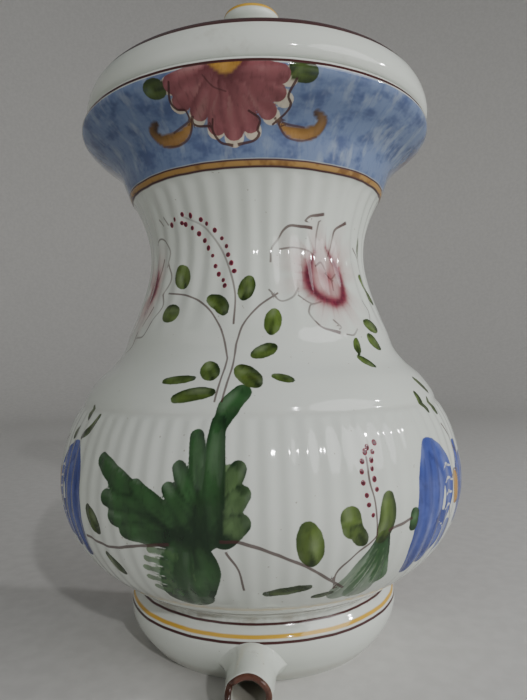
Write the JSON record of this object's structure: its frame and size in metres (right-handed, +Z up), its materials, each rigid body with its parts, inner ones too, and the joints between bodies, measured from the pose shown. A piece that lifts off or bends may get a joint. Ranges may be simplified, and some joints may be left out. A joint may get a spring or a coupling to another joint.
{
  "type": "glazed wall cistern with lid",
  "caption": "Half-round glazed earthenware wall cistern with flat back, fluted bulbous body, flared rim, low front spout and lift-off lid with a knob.",
  "frame": {"origin": "on the base plane, under the middle of the whole object's bounding box", "axes": "+Z up; the round front and its spout face -Y; the flat back faces +Y; +X to the right of someone who faces the front"},
  "size_m": [0.2648, 0.1456, 0.394],
  "materials": {
    "white_glaze": "white tin glaze, glossy, hand painted",
    "blue_glaze": "streaky blue painted glaze, glossy",
    "bare_clay": "unglazed fired earthenware, matt"
  },
  "bodies": {
    "cistern": {"foot_wall": "white_glaze", "floor_plate": "bare_clay", "bulb_wall": "white_glaze", "neck_wall": "white_glaze", "flared_band": "blue_glaze", "back_slab": "bare_clay", "spout": "white_glaze"},
    "lid": {"lid_cover": "white_glaze", "lid_flange": "white_glaze", "lid_knob": "white_glaze"}
  },
  "joints": [
    {"name": "lid_lift", "type": "slide", "parent": "cistern", "child": "lid", "axis": [0, 0, 1], "range_m": [0, 0.06]}
  ]
}
